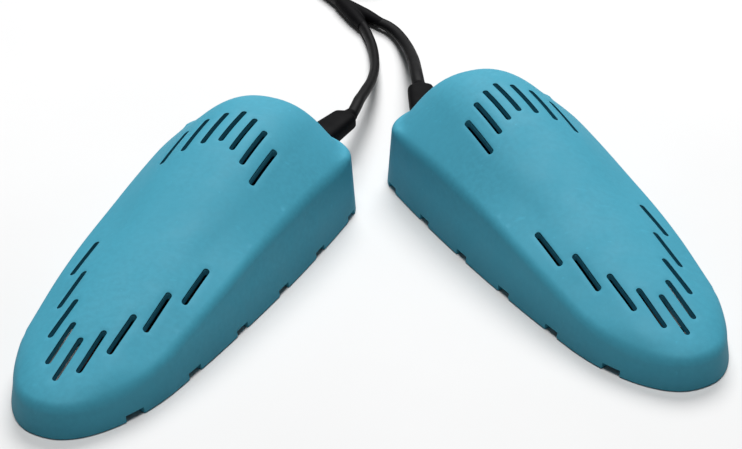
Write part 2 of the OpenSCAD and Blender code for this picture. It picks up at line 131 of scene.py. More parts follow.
def add_ramp(tree, source, stops):
    ramp = tree.nodes.new("ShaderNodeValToRGB")
    elements = ramp.color_ramp.elements
    while len(elements) < len(stops):
        elements.new(0.5)
    for element, (place, colour) in zip(elements, stops):
        element.position = place
        element.color = (*colour, 1) if hasattr(colour, "__len__") else (colour, colour, colour, 1)
    tree.links.new(source, ramp.inputs["Fac"])
    return ramp.outputs["Color"]


def mix_colours(tree, factor, first, second):
    mix = tree.nodes.new("ShaderNodeMix")
    mix.data_type = "RGBA"
    tree.links.new(factor, mix.inputs["Factor"])
    for socket, colour in ((mix.inputs[6], first), (mix.inputs[7], second)):
        if hasattr(colour, "is_linked"):
            tree.links.new(colour, socket)
        else:
            socket.default_value = (*colour, 1)
    return mix.outputs[2]


def add_bump(tree, shader, height, strength, distance):
    bump = tree.nodes.new("ShaderNodeBump")
    bump.inputs["Strength"].default_value = strength
    bump.inputs["Distance"].default_value = distance
    tree.links.new(height, bump.inputs["Height"])
    tree.links.new(bump.outputs["Normal"], shader.inputs["Normal"])


def srgb(*levels):
    """A colour given in 0-255 display levels, as the shader's linear values."""
    return tuple((c / 255 / 12.92) if c <= 10 else ((c / 255 + 0.055) / 1.055) ** 2.4 for c in levels)


def shade(colour, amount):
    return tuple(min(1.0, c * amount) for c in colour)


def painted_low_shade(tree, amount):
    """Painted shade at the foot of the walls: a factor that fades from `amount` at the floor to nothing at
    PAINTED_SHADE_TOP, broken up by noise.
    """
    coords = tree.nodes.new("ShaderNodeTexCoord")
    split = tree.nodes.new("ShaderNodeSeparateXYZ")
    tree.links.new(coords.outputs["Object"], split.inputs["Vector"])
    height = tree.nodes.new("ShaderNodeMapRange")
    height.inputs["From Max"].default_value = PAINTED_SHADE_TOP
    height.inputs["To Min"].default_value = amount
    height.inputs["To Max"].default_value = 0
    tree.links.new(split.outputs["Z"], height.inputs["Value"])
    patchy = tree.nodes.new("ShaderNodeMath")
    patchy.operation = "MULTIPLY"
    tree.links.new(height.outputs["Result"], patchy.inputs[0])
    tree.links.new(add_ramp(tree, add_noise(tree, 90, 4), [(0.2, 0.8), (0.7, 1.0)]), patchy.inputs[1])
    return patchy.outputs["Value"]


def moulded(
    name, colour, roughness=0.5, grain=2600, grain_depth=0.00003, vary=0.06,
    scuffs=0.0, specular=0.35, painted_shade=0.0,
):
    """Moulded plastic or rubber: fine grain and slow mottling, with pale scuffs if asked, and with painted
    shade darkening it towards the floor if asked.
    """
    material, tree, shader = new_material(name)
    shader.inputs["Specular IOR Level"].default_value = specular
    slow = add_noise(tree, 38, 3)
    tone = add_ramp(tree, slow, [(0.3, shade(colour, 1 - vary)), (0.7, shade(colour, 1 + vary))])
    fine = add_ramp(tree, add_noise(tree, 620, 5), [(0.35, 0.0), (0.65, 1.0)])
    tone = mix_colours(tree, fine, tone, shade(colour, 1 + 1.6 * vary))
    if scuffs:
        scratch = add_ramp(tree, add_noise(tree, 260, 8, (0.35, 1.6, 1)), [(0.67, 0.0), (0.73, scuffs)])
        tone = mix_colours(tree, scratch, tone, shade(colour, 1.9))
        speck = add_ramp(tree, add_noise(tree, 520, 1), [(0.765, 0.0), (0.80, scuffs)])
        tone = mix_colours(tree, speck, tone, shade(colour, 2.2))
    # Painted shade: the colour darkens towards the floor, where the walls lie in shade.
    if painted_shade:
        tone = mix_colours(tree, painted_low_shade(tree, painted_shade), tone, shade(colour, 0.3))
    tree.links.new(tone, shader.inputs["Base Color"])
    gloss = add_ramp(tree, add_noise(tree, 120, 5), [(0.3, roughness - 0.05), (0.7, roughness + 0.07)])
    tree.links.new(gloss, shader.inputs["Roughness"])
    add_bump(tree, shader, add_noise(tree, grain, 6), 0.5, grain_depth)
    return material


def metal(name, colour, roughness=0.3, brushed=(1, 1, 1)):
    """Sheet or turned metal with a brushed direction and dull spots."""
    material, tree, shader = new_material(name)
    shader.inputs["Metallic"].default_value = 1
    lines = add_noise(tree, 900, 6, brushed)
    tone = add_ramp(tree, lines, [(0.3, shade(colour, 0.82)), (0.7, colour)])
    tree.links.new(tone, shader.inputs["Base Color"])
    gloss = add_ramp(tree, add_noise(tree, 150, 4), [(0.3, roughness), (0.75, roughness + 0.2)])
    tree.links.new(gloss, shader.inputs["Roughness"])
    add_bump(tree, shader, lines, 0.3, 0.00002)
    return material


def film(name, colour):
    """Amber insulating film, glossy and slightly wrinkled."""
    material, tree, shader = new_material(name)
    tone = add_ramp(tree, add_noise(tree, 200, 4), [(0.3, shade(colour, 0.75)), (0.7, shade(colour, 1.1))])
    tree.links.new(tone, shader.inputs["Base Color"])
    gloss = add_ramp(tree, add_noise(tree, 90, 3), [(0.3, 0.12), (0.7, 0.28)])
    tree.links.new(gloss, shader.inputs["Roughness"])
    add_bump(tree, shader, add_noise(tree, 350, 2, (1, 4, 1)), 0.6, 0.00012)
    return material


materials = {
    "shell": moulded(
        # The shell's colour carries painted shade low on its walls.
        "shell_plastic", srgb(*SHELL_BLUE), 0.68, vary=0.035, scuffs=0.1, specular=0.22, painted_shade=0.4
    ),
    "cover": moulded("cover_plastic", srgb(52, 128, 156), 0.55, scuffs=0.2),
    "cord": moulded("cord_jacket", srgb(*CORD_BLACK), 0.55, grain=1800, grain_depth=0.00004, specular=0.12),
    "boot": moulded("boot_rubber", srgb(7, 7, 9), 0.66, grain=1500, grain_depth=0.00005, specular=0.06),
    "tie": moulded("tie_strap", srgb(30, 30, 32), 0.6, grain=1200, grain_depth=0.00008),
    "plug": moulded("plug_plastic", srgb(25, 25, 27), 0.5, grain=1400, grain_depth=0.00006),
    "sleeve": moulded("pin_sleeve", srgb(30, 30, 33), 0.42),
    "clamp": moulded("clamp_nylon", srgb(228, 226, 214), 0.45),
    "mica": moulded("mica_sheet", srgb(196, 176, 132), 0.4, grain=500, grain_depth=0.0001, vary=0.16),
    "brown": moulded("wire_brown", srgb(118, 66, 34), 0.4, grain=900),
    "blue": moulded("wire_blue", srgb(44, 86, 160), 0.4, grain=900),
    "fuse": moulded("fuse_sleeve", srgb(214, 108, 34), 0.45, grain=700),
    "heater": metal("heater_metal", (0.36, 0.36, 0.37), 0.4, (0.1, 1, 1)),
    "spreader": metal("spreader_metal", (0.34, 0.33, 0.32), 0.42, (1, 0.1, 1)),
    "steel": metal("screw_steel", (0.66, 0.66, 0.68), 0.28),
    "brass": metal("terminal_brass", (0.72, 0.55, 0.24), 0.25),
    "nickel": metal("pin_nickel", (0.70, 0.66, 0.58), 0.2, (0.1, 1, 1)),
    "film": film("heater_film", srgb(206, 120, 30)),
}


# ---------------------------------------------------------------- mesh helpers
PATH_STEPS = 24


def mesh_piece(name, points, faces, slots, body=None, face_slots=None, sharp=38):
    """A mesh object from millimetre points, smooth except where its faces meet at more than `sharp`."""
    mesh = bpy.data.meshes.new(name)
    mesh.from_pydata([tuple(float(c) * MM for c in p) for p in points], [], faces)
    for slot in slots:
        mesh.materials.append(materials[slot])
    if face_slots is not None:
        mesh.polygons.foreach_set("material_index", face_slots)
    work = bmesh.new()
    work.from_mesh(mesh)
    bmesh.ops.recalc_face_normals(work, faces=work.faces)
    work.to_mesh(mesh)
    work.free()
    mesh.shade_smooth()
    mesh.set_sharp_from_angle(angle=math.radians(sharp))
    piece = bpy.data.objects.new(name, mesh)
    scene.collection.objects.link(piece)
    if body:
        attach(piece, body)
    return piece


def loft(rings):
    """(points, faces) of a closed skin over rings that all have the same number of points."""
    count = len(rings[0])
    points = [p for ring in rings for p in ring]
    faces = [
        (i * count + j, i * count + (j + 1) % count, (i + 1) * count + (j + 1) % count, (i + 1) * count + j)
        for i in range(len(rings) - 1)
        for j in range(count)
    ]
    faces.append(tuple(reversed(range(count))))
    faces.append(tuple(range((len(rings) - 1) * count, len(rings) * count)))
    return points, faces


def smooth_path(route, step):
    """Points `step` apart on a smooth curve through the route's points."""
    route = np.array(route, float)
    padded = np.vstack([2 * route[0] - route[1], route, 2 * route[-1] - route[-2]])
    fine = []
    for a, b, c, d in zip(padded, padded[1:], padded[2:], padded[3:]):
        t = np.linspace(0, 1, PATH_STEPS, endpoint=False)[:, None]
        square = 2 * a - 5 * b + 4 * c - d
        cube = 3 * b - a - 3 * c + d
        fine.append(0.5 * (2 * b + (c - a) * t + square * t**2 + cube * t**3))
    fine = np.vstack(fine + [route[-1:]])
    along = np.concatenate([[0], np.cumsum(np.linalg.norm(np.diff(fine, axis=0), axis=1))])
    even = np.linspace(0, along[-1], max(3, int(along[-1] / step)))
    return np.column_stack([np.interp(even, along, fine[:, k]) for k in range(3)])


def smooth_step(t):
    """0 up to t = 0, 1 from t = 1, and an even S between."""
    t = min(1.0, max(0.0, t))
    return t * t * (3 - 2 * t)


def tube_rings(path, wide, high, sides=20, squareness=2.0, roll=lambda t: 0.0):
    """Rings of an oval `wide` across and `high` upwards along the path, turned by roll(0..1) degrees."""
    tangents = np.gradient(path, axis=0)
    tangents /= np.linalg.norm(tangents, axis=1)[:, None]
    rings = []
    for k, (centre, ahead) in enumerate(zip(path, tangents)):
        side = np.cross(ahead, (0, 0, 1))
        side /= np.linalg.norm(side)
        rise = np.cross(side, ahead)
        turn = math.radians(roll(k / (len(path) - 1)))
        ring = []
        for a in np.arange(sides) * 2 * math.pi / sides:
            x, y = oval_point(a, wide / 2, high / 2, squareness)
            x, y = x * math.cos(turn) - y * math.sin(turn), x * math.sin(turn) + y * math.cos(turn)
            ring.append(centre + side * x + rise * y)
        rings.append(ring)
    return rings


def oval_point(angle, across, up, squareness):
    """A point on an oval with half-axes across and up: an ellipse at squareness 2, boxier above."""
    c, s = math.cos(angle), math.sin(angle)
    power = 2 / squareness
    return across * math.copysign(abs(c) ** power, c), up * math.copysign(abs(s) ** power, s)


# ---------------------------------------------------------------- the dryer's form
# The CAD's form, except that the crease is softened over CREASE_SOFT on each side and that the top
# meets its edge at a finite slope.
BODY_LEN = 155
RIM_HALF = 31.8
WALL = 2
DRAFT = 1.2
WIDEST_AT, FLANK_TAPER = 130, 0.00078
TOE_CAP, TOE_POWER = 34, 2.35
HEEL_CAP, HEEL_POWER = 19, 2.15
SHOULDER_ROUND, EDGE_RISE = 2.25, 1.33
SPINE = (24, BODY_LEN - 27)
TOE_FALL, TOE_FADE_POWER = 30, 2.4
HEEL_FALL, HEEL_FADE_POWER = 28, 2.2
FADE_REACH, FADE_TAIL = 0.985, 8
CROWN_POWER = 2.4
CREASE_SOFT = 1.2
NOTCH_FIRST, NOTCH_PITCH, NOTCH_COUNT = 17.3, 23.7, 6
NOTCH_LEN, NOTCH_H = 5.6, 2
DRYER_YAW = (66.2, 115.1)
DRYER_MID = ((-60.3, -11), (59.2, 8.2))
shoulder_z = [(0, 8.9), (10, 9.4), (30, 11.3), (50, 15.2), (75, 18.9), (100, 21.4), (120, 22.1), (155, 19.4)]
extra_lean = [(0, 0), (30, 0.1), (55, 0.7), (80, 1.6), (105, 1.2), (125, 0.4), (155, 0)]
crease_z = [(0, 11), (30, 16.2), (50, 20.8), (70, 23.6), (90, 27.6), (110, 30.6), (125, 31.5), (155, 29)]
crease_v = [(0, 12), (30, 13), (50, 13.5), (70, 15.5), (95, 18), (125, 18.6), (155, 18)]
crown_z = [
    (0, 11.5), (15, 14.6), (30, 18.6), (50, 23), (70, 27.6),
    (90, 33), (110, 37.6), (125, 39), (140, 38.5), (155, 37.7),
]


def cap(ratio, power):
    """1 at ratio 0 and 0 at ratio 1, along a superellipse."""
    return max(0.0, 1 - ratio**power) ** (1 / power)


def flank(u):
    """Half-width at u before the toe and heel are rounded."""
    return RIM_HALF - FLANK_TAPER * (WIDEST_AT - u) ** 2


def rim(u):
    """Half-width of the rim at u."""
    toe = cap(1 - u / TOE_CAP, TOE_POWER) if u < TOE_CAP else 1
    heel = cap((u - BODY_LEN + HEEL_CAP) / HEEL_CAP, HEEL_POWER) if u > BODY_LEN - HEEL_CAP else 1
    return flank(u) * toe * heel


def curve(stations, x):
    """A smooth curve through (x, value) stations."""
    i = max(0, min(len(stations) - 2, sum(x >= s[0] for s in stations[1:])))
    (x0, y0), (x1, y1) = stations[i], stations[i + 1]
    (xa, ya), (xb, yb) = stations[max(0, i - 1)], stations[min(len(stations) - 1, i + 2)]
    h = x1 - x0
    s = (x - x0) / h
    m0, m1 = (y1 - ya) / (x1 - xa), (yb - y0) / (xb - x0)
    return ((2 * s**3 - 3 * s**2 + 1) * y0 + (s**3 - 2 * s**2 + s) * h * m0
            + (3 * s**2 - 2 * s**3) * y1 + (s**3 - s**2) * h * m1)


def lean(u):
    """How far the side wall leans in between the rim and the shoulder."""
    return DRAFT + curve(extra_lean, u)


def shoulder_inset(u):
    """How far inside the rim the top begins."""
    return lean(u) + SHOULDER_ROUND


def top_edge(u):
    """Height of the top's edge."""
    return curve(shoulder_z, u) + EDGE_RISE


def across(u, v):
    """Height of the top over the cross-section at u, before it falls away at the toe and heel."""
    fold, fold_z = curve(crease_v, u), curve(crease_z, u)
    edge, edge_z = flank(u) - shoulder_inset(u), top_edge(u)
    rise = curve(crown_z, u) - fold_z
    x = abs(v)
    shoulder = edge_z + (fold_z - edge_z) * (edge - x) / (edge - fold)
    if x < fold:
        crown = fold_z + rise * (1 - (x / fold) ** CROWN_POWER)
    else:
        crown = fold_z - CROWN_POWER * rise / fold * (x - fold)
    t = smooth_step((x - fold + CREASE_SOFT) / (2 * CREASE_SOFT))
    return crown * (1 - t) + shoulder * t


def fade(x, start, end, power):
    """Falls from 1 to 0 like a rounded shoulder, but meets the edge at a finite slope."""
    t = min(1.0, max(0.0, (x - start) / (end - start)))
    return cap(FADE_REACH * t, power) - cap(FADE_REACH, power) * t**FADE_TAIL


def top_z(u, v):
    """Height of the top at a plan point."""
    ratio = min(1.0, abs(v) / (flank(u) - shoulder_inset(u)))
    toe_edge = TOE_CAP * (1 - cap(ratio, TOE_POWER)) + shoulder_inset(u)
    heel_edge = BODY_LEN - HEEL_CAP * (1 - cap(ratio, HEEL_POWER)) - shoulder_inset(u)
    e = top_edge(u)
    toe_fade = fade(-u, -TOE_FALL, -toe_edge, TOE_FADE_POWER)
    heel_fade = fade(u, BODY_LEN - HEEL_FALL, heel_edge, HEEL_FADE_POWER)
    return e + (across(u, v) - e) * toe_fade * heel_fade


def inset(u, side, amount):
    """The rim's point at u, moved inwards towards the shell's spine."""
    v = rim(u) * side
    a = max(SPINE[0], min(SPINE[1], u))
    du, dv = u - a, v
    keep = 1 - amount / math.hypot(du, dv)
    return a + du * keep, dv * keep


def slope_up(u, side, step=0.6):
    """How steeply the top rises inwards from its edge, as an angle."""
    edge = inset(u, side, shoulder_inset(u))
    further = inset(u, side, shoulder_inset(u) + step)
    return math.atan2(top_z(*further) - top_z(*edge), step)


def placed(i, u, v):
    """A point of dryer i in plan, before the pair is centred."""
    a = math.radians(DRYER_YAW[i])
    x, y = u - BODY_LEN / 2, v
    return (
        DRYER_MID[i][0] + x * math.cos(a) - y * math.sin(a),
        DRYER_MID[i][1] + x * math.sin(a) + y * math.cos(a),
    )


def stations_along(steps):
    """Values of u from toe to heel, closer together towards both ends."""
    return [BODY_LEN / 2 * (1 - math.cos(math.pi * j / steps)) for j in range(steps + 1)]


def pair_middle():
    """The centre of the box around both rims, where the model has its origin."""
    plan = np.array([placed(i, u, s * rim(u)) for i in (0, 1) for u in stations_along(180) for s in (-1, 1)])
    return tuple((plan.min(axis=0) + plan.max(axis=0)) / 2)


MIDDLE = pair_middle()


def laid(i, u, v, z=0.0):
    """A point of dryer i in the model's frame."""
    x, y = placed(i, u, v)
    return x - MIDDLE[0], y - MIDDLE[1], z


# ---------------------------------------------------------------- upper shells
SLOT_W = 1.9
HEEL_SLOT_U, HEEL_SLOT_LEN = 115.7, 17.4
TOE_SLOT_U, TOE_SLOT_LEN = 16.8, 15
heel_slots = [(0, 0), (2.4, 5.1), (5.9, 10.3), (10.2, 15.7)]
toe_slots = [(0, 0), (4.3, 5), (12.9, 9.6), (24.7, 14.2), (38.9, 18.7)]
# The rounded lip of a slot: rings this far outside its outline, sunk this much below the top.
LIP = [(-0.14, 0.32), (-0.03, 0.11), (0.22, 0.0)]
RIM_EDGE = 0.25
# Rows of points on the side wall above the notches, as shares of its height there.
WALL_ROWS = (0.45, 0.8, 1.0)
SHOULDER_STEPS = 7
# The least and most slope, as angles, that the shoulder's round runs into.
SHOULDER_SLOPES = (0.12, 1.1)
STEEPEST = 2.4
OUTLINE_STEPS, OUTLINE_GAP = 96, 0.5
# The top's inner points lie in near-equilateral triangles with sides of GRID.
GRID = 1.7
GRID_ROW = GRID * 0.866
GRID_TO_EDGE, GRID_TO_SLOT = GRID * 0.6, 0.9


def slot_list():
    """(u, v, length) of every slot's centre."""
    found = []
    for back, v in heel_slots:
        found += [(HEEL_SLOT_U - back, s * v, HEEL_SLOT_LEN) for s in ((1, -1) if v else (1,))]
    for on, v in toe_slots:
        found += [(TOE_SLOT_U + on, s * v, TOE_SLOT_LEN) for s in ((1, -1) if v else (1,))]
    return found


def slot_contour(u, v, length, out):
    """The slot's outline, moved outwards by `out`."""
    r = SLOT_W / 2 + out
    half = length / 2 - SLOT_W / 2
    straight = np.linspace(-half, half, 13)[1:-1]
    round_end = np.linspace(-math.pi / 2, math.pi / 2, 9)
    right = [(u + half + r * math.cos(a), v + r * math.sin(a)) for a in round_end]
    left = [(u - half - r * math.cos(a), v - r * math.sin(a)) for a in round_end]
    return [(u + s, v - r) for s in straight] + right + [(u - s, v + r) for s in straight] + left


def slot_distance(u, v, slot):
    """How far a plan point lies outside the slot's outline."""
    su, sv, length = slot
    half = length / 2 - SLOT_W / 2
    du = max(0.0, abs(u - su) - half)
    return math.hypot(du, v - sv) - SLOT_W / 2


def outline_params():
    """(u, side) once round the rim, with a point at each end of every notch, and those ends."""
    ends = [NOTCH_FIRST + i * NOTCH_PITCH + s * NOTCH_LEN / 2 for i in range(NOTCH_COUNT) for s in (-1, 1)]
    even = [u for u in stations_along(OUTLINE_STEPS) if min(abs(u - e) for e in ends) > OUTLINE_GAP]
    us = sorted(even + ends)
    params = [(u, 1) for u in us] + [(u, -1) for u in reversed(us[1:-1])]
    return params, ends


def in_notch(u, ends):
    return any(a < u < b for a, b in zip(ends[::2], ends[1::2]))


def top_plan(boundary):
    """Triangles over the top's plan, with holes at the slots: (plan points, triangles, slot rings, drops)."""
    points = list(boundary)
    edges = [(j, (j + 1) % len(boundary)) for j in range(len(boundary))]
    drops = [0.0] * len(points)
    rings = []
    slots = slot_list()
    for slot in slots:
        for k, (out, drop) in enumerate(LIP):
            contour = slot_contour(*slot, out)
            first = len(points)
            points += contour
            drops += [drop] * len(contour)
            edges += [(first + j, first + (j + 1) % len(contour)) for j in range(len(contour))]
            if k == 0:
                rings.append(list(range(first, first + len(contour))))
    edge_line = np.array(boundary)
    for row, v in enumerate(np.arange(-RIM_HALF, RIM_HALF, GRID_ROW)):
        for u in np.arange(GRID / 2 * (row % 2), BODY_LEN, GRID):
            clear = np.hypot(*(edge_line - (u, v)).T).min() > GRID_TO_EDGE
            if clear and inside_outline(u, v) and all(slot_distance(u, v, s) > GRID_TO_SLOT for s in slots):
                points.append((u, v))
                drops.append(0.0)
    flat = [Vector((float(u), float(v))) for u, v in points]
    plan, _, triangles, origin, _, _ = delaunay_2d_cdt(flat, edges, [], 1, 1e-7)
    assert len(plan) == len(points)
    order = [o[0] for o in origin]
    kept = []
    for t in triangles:
        cu, cv = sum(plan[k][0] for k in t) / 3, sum(plan[k][1] for k in t) / 3
        if all(slot_distance(cu, cv, s) > 0 for s in slots):
            kept.append(tuple(order[k] for k in t))
    return points, kept, rings, drops


def inside_outline(u, v):
    """Whether a plan point lies inside the edge of the top."""
    a = max(SPINE[0], min(SPINE[1], u))
    reach = math.hypot(u - a, v)
    if SPINE[0] <= u <= SPINE[1]:
        return abs(v) < rim(u) - shoulder_inset(u)
    direction = math.atan2(abs(v), u - a)
    low, high = (0.0, SPINE[0]) if u < SPINE[0] else (SPINE[1], float(BODY_LEN))
    for _ in range(40):
        mid = (low + high) / 2
        if math.atan2(rim(mid), mid - a) > direction:
            low = mid
        else:
            high = mid
    return reach < math.hypot(mid - a, rim(mid)) - shoulder_inset(mid)


def shoulder_arc(u, side):
    """(angle, radius, height of its foot) of the round between the side wall and the top."""
    least, most = SHOULDER_SLOPES
    angle = math.pi / 2 - min(most, max(least, slope_up(u, side)))
    radius = SHOULDER_ROUND / (1 - math.cos(angle))
    edge = top_z(*inset(u, side, shoulder_inset(u)))
    return angle, radius, edge - radius * math.sin(angle)


def outer_rows(params, arcs):
    """Rings of points up the outside, from the rim to just short of the top's edge."""
    rows = [[(*inset(u, s, RIM_EDGE), 0.0) for u, s in params]]
    for z in (RIM_EDGE, NOTCH_H):
        rows.append([(*inset(u, s, lean(u) * z / foot), z) for (u, s), (_, _, foot) in zip(params, arcs)])
    for t in WALL_ROWS:
        row = []
        for (u, s), (_, _, foot) in zip(params, arcs):
            z = NOTCH_H + (foot - NOTCH_H) * t
            row.append((*inset(u, s, lean(u) * z / foot), z))
        rows.append(row)
    for k in range(1, SHOULDER_STEPS):
        row = []
        for (u, s), (angle, radius, foot) in zip(params, arcs):
            a = angle * k / SHOULDER_STEPS
            row.append((*inset(u, s, lean(u) + radius * (1 - math.cos(a))), foot + radius * math.sin(a)))
        rows.append(row)
    return rows


def steepness(u, v, step=0.3):
    """How much longer the top's surface is than its plan here, so that the wall keeps its thickness."""
    du = (top_z(u + step, v) - top_z(u - step, v)) / (2 * step)
    dv = (top_z(u, v + step) - top_z(u, v - step)) / (2 * step)
    return min(STEEPEST, math.sqrt(1 + du * du + dv * dv))


def wall_faces(count, last, notched, top, inner, low, mid):
    """Faces of the side wall, where top, inner, low and mid are the first points of those rings.

    A notch takes away the two lowest rows of faces, and gets a roof and two ends.
    """
    faces = []
    for j in range(count):
        n = (j + 1) % count
        for r in range(last):
            if not (notched[j] and r < 2):
                faces.append((r * count + j, r * count + n, (r + 1) * count + n, (r + 1) * count + j))
        faces.append((last * count + j, last * count + n, top + n, top + j))
        faces.append((inner + j, inner + n, mid + n, mid + j))
        if notched[j]:
            faces.append((2 * count + j, 2 * count + n, mid + n, mid + j))
        else:
            faces.append((mid + j, mid + n, low + n, low + j))
            faces.append((low + j, low + n, n, j))
        if notched[j] != notched[n]:
            faces.append((n, count + n, 2 * count + n, mid + n, low + n))
    return faces


def shell_form():
    """Points and faces of one upper shell in its own frame."""
    params, ends = outline_params()
    count = len(params)
    arcs = [shoulder_arc(u, s) for u, s in params]
    rows = outer_rows(params, arcs)
    plan, triangles, slot_rings, drops = top_plan([inset(u, s, shoulder_inset(u)) for u, s in params])
    points = [p for row in rows for p in row]
    top = len(points)
    points += [(u, v, top_z(u, v) - drop) for (u, v), drop in zip(plan, drops)]
    inner = len(points)
    points += [(u, v, top_z(u, v) - WALL * steepness(u, v)) for u, v in plan]
    low = len(points)
    points += [(*inset(u, s, WALL + RIM_EDGE), 0.0) for u, s in params]
    mid = len(points)
    for (u, s), (_, _, foot) in zip(params, arcs):
        points.append((*inset(u, s, WALL + lean(u) * NOTCH_H / foot), NOTCH_H))
    notched = [in_notch((params[j][0] + params[(j + 1) % count][0]) / 2, ends) for j in range(count)]
    faces = wall_faces(count, len(rows) - 1, notched, top, inner, low, mid)
    faces += [tuple(top + k for k in t) for t in triangles]
    faces += [tuple(inner + k for k in reversed(t)) for t in triangles]
    for ring in slot_rings:
        for a, b in zip(ring, ring[1:] + ring[:1]):
            faces.append((top + a, top + b, inner + b, inner + a))
    return points, faces


def add_shells():
    points, faces = shell_form()
    for i, side in enumerate(SIDES):
        shell = mesh_piece(
            f"{side}_shell", [laid(i, *p) for p in points], faces, ["shell"], f"{side}_dryer", sharp=42
        )
        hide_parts(f"{side}_upper_shell")


# ---------------------------------------------------------------- strain reliefs
RELIEF_U, RELIEF_V, RELIEF_Z = 151, 10.6, 16
RELIEF_TURN = (-8.5, -19.5)
FLANGE_BACK = (0, -3.4)
BOOT_SIDES = 40
# x, width, height, squareness
relief_sections = [
    (-5.4, 12.8, 9.2, 4), (-5.1, 13.4, 9.8, 4), (-3.7, 13.4, 9.8, 4), (-3.4, 12.8, 9.2, 4),
    (-3.4, 11.2, 6.8, 3.4), (0, 11.4, 6.8, 3.4), (3, 11.4, 6.8, 3.4), (9, 10.7, 6.5, 3.4),
    (15, 9.9, 6.2, 3.4), (19.2, 9.35, 6.0, 3.4), (19.9, 9.1, 5.9, 3.3), (20.3, 8.6, 5.7, 3.1),
    (21.3, 6.3, 5.2, 2.5), (21.9, 5.5, 4.9, 2.1), (23, 5.2, 4.7, 2), (24, 5.0, 4.5, 2), (24.2, 4.6, 4.2, 2),
]


def relief_point(i, x, y, z):
    """A point given along the strain relief of dryer i, in the model's frame."""
    a = math.radians(RELIEF_TURN[i])
    u = RELIEF_U + x * math.cos(a) - y * math.sin(a)
    v = (-1, 1)[i] * RELIEF_V + x * math.sin(a) + y * math.cos(a)
    return laid(i, u, v, RELIEF_Z + z)


def add_reliefs():
    boots = []
    for i, side in enumerate(SIDES):
        rings = []
        for x, wide, high, squareness in relief_sections:
            x += FLANGE_BACK[i] if x < 0 else 0
            angles = np.arange(BOOT_SIDES) * 2 * math.pi / BOOT_SIDES
            ring = [oval_point(a, wide / 2, high / 2, squareness) for a in angles]
            rings.append([relief_point(i, x, y, z) for y, z in ring])
        boot = mesh_piece(f"{side}_boot", *loft(rings), ["boot"], f"{side}_dryer", sharp=50)
        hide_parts(f"{side}_strain_relief")
        boots.append(boot)
    return boots


# ---------------------------------------------------------------- cords
LEAD_D, TRUNK_D = 4, 5
LEAD_OVALS = ((4.2, 3.5), (4.7, 3.8))
LEAD_STEP, TRUNK_STEP = 1.6, 2.2
LEAD_START = (20.5, 22.5, 24.5)
left_route = [
    (-6.9, 74.5, 16), (-6.4, 79.2, 15.6), (-5.4, 84.5, 15.2), (-4, 91.6, 13.9), (-2.6, 99, 12.6),
    (-1.3, 107.3, 10.8), (-0.4, 116, 9), (0.2, 125, 7.2), (0.3, 134, 5.5), (0.1, 143.5, 4.2),
    (-0.6, 153.3, 3.2), (-1.8, 161.4, 2.9), (-3.2, 168, 2.9), (-4.8, 173.5, 3),
]
right_route = [
    (15.8, 97, 16), (15.6, 101.5, 15.8), (15.4, 107.6, 14.8), (15.1, 118.6, 12.4), (14.8, 125.5, 10.8),
    (14.4, 132.4, 9), (13.8, 140, 7.2), (13, 147.7, 5.5), (11.1, 159, 3.6), (8.5, 167.2, 3),
    (5.5, 172.4, 3), (2.7, 175.5, 3),
]
SPLIT_OUT = (-13.6, 195.5, 3)
SPLITTER_OVAL = (6, 5.6)
SPLITTER_STEP, SPLITTER_VOXEL = 0.7, 0.3
INTO_SPLITTER = 0.12
COIL_AT = (-2, 250)
COIL_R, COIL_Z, COIL_COLUMNS = 28, 3.5, 3
COIL_TURNS = 2 * COIL_COLUMNS + 0.25
STEP_OVER, STEP_UP = 0.28, 0.22
trunk_route = [
    SPLIT_OUT, (-17.6, 203, 2.6), (-22.6, 212, 2.5), (-27.6, 222, 2.6), (-31.8, 232, 2.9), (-34.2, 241, 3.3),
]
tail_route = [(8, 283.2, 8.3), (17, 283.6, 7.5), (26, 284, 7)]


def coil_points(step=9):
    """Two layers of turns: inwards below, then outwards above and a quarter turn on to the plug.

    Over the last STEP_OVER of each turn the cord moves on by one column, and over the last STEP_UP of
    the lower layer it climbs to the upper one.
    """
    outer = COIL_R + (COIL_COLUMNS - 1) / 2 * TRUNK_D
    found = []
    for angle in np.arange(0, 360 * COIL_TURNS + step, step):
        turn = angle / 360
        low = turn < COIL_COLUMNS
        t = turn if low else turn - COIL_COLUMNS
        shift = math.floor(t) + smooth_step((t - math.floor(t) - (1 - STEP_OVER)) / STEP_OVER)
        shift = min(shift, COIL_COLUMNS - 1)
        r = outer - TRUNK_D * (shift if low else COIL_COLUMNS - 1 - shift)
        lift = smooth_step((turn - COIL_COLUMNS + STEP_UP) / STEP_UP)
        a = math.radians(180 - angle)
        found.append((COIL_AT[0] + r * math.cos(a), COIL_AT[1] + r * math.sin(a), COIL_Z + TRUNK_D * lift))
    return found


def left_twist(t):
    return 70 * smooth_step(t * 1.6)


def right_twist(t):
    return 8 * t


def add_leads():
    """Each lead runs on out of its strain relief and bends across the joint there."""
    leads = []
    shapes = zip(SIDES, (left_route, right_route), LEAD_OVALS, (left_twist, right_twist))
    for i, (side, route, (wide, high), twist) in enumerate(shapes):
        start = [relief_point(i, x, 0, 0) for x in LEAD_START]
        merge = np.array(SPLIT_OUT) - np.array(route[-1])
        inner = np.array(route[-1]) + merge * INTO_SPLITTER
        path = smooth_path(start + route[1:] + [tuple(inner)], LEAD_STEP)
        skin = loft(tube_rings(path, wide, high, 20, 2.2, twist))
        lead = mesh_piece(f"{side}_lead_cord", *skin, ["cord"])
        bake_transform(lead)
        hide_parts(f"{side}_lead")
        leads.append((lead, path))
    return leads


def leg_size(t):
    """Share of its full size that a leg has at t: from the lead's size up, and slightly down at the end."""
    return 0.76 + 0.24 * smooth_step(t / 0.45) - 0.06 * smooth_step((t - 0.93) / 0.07)


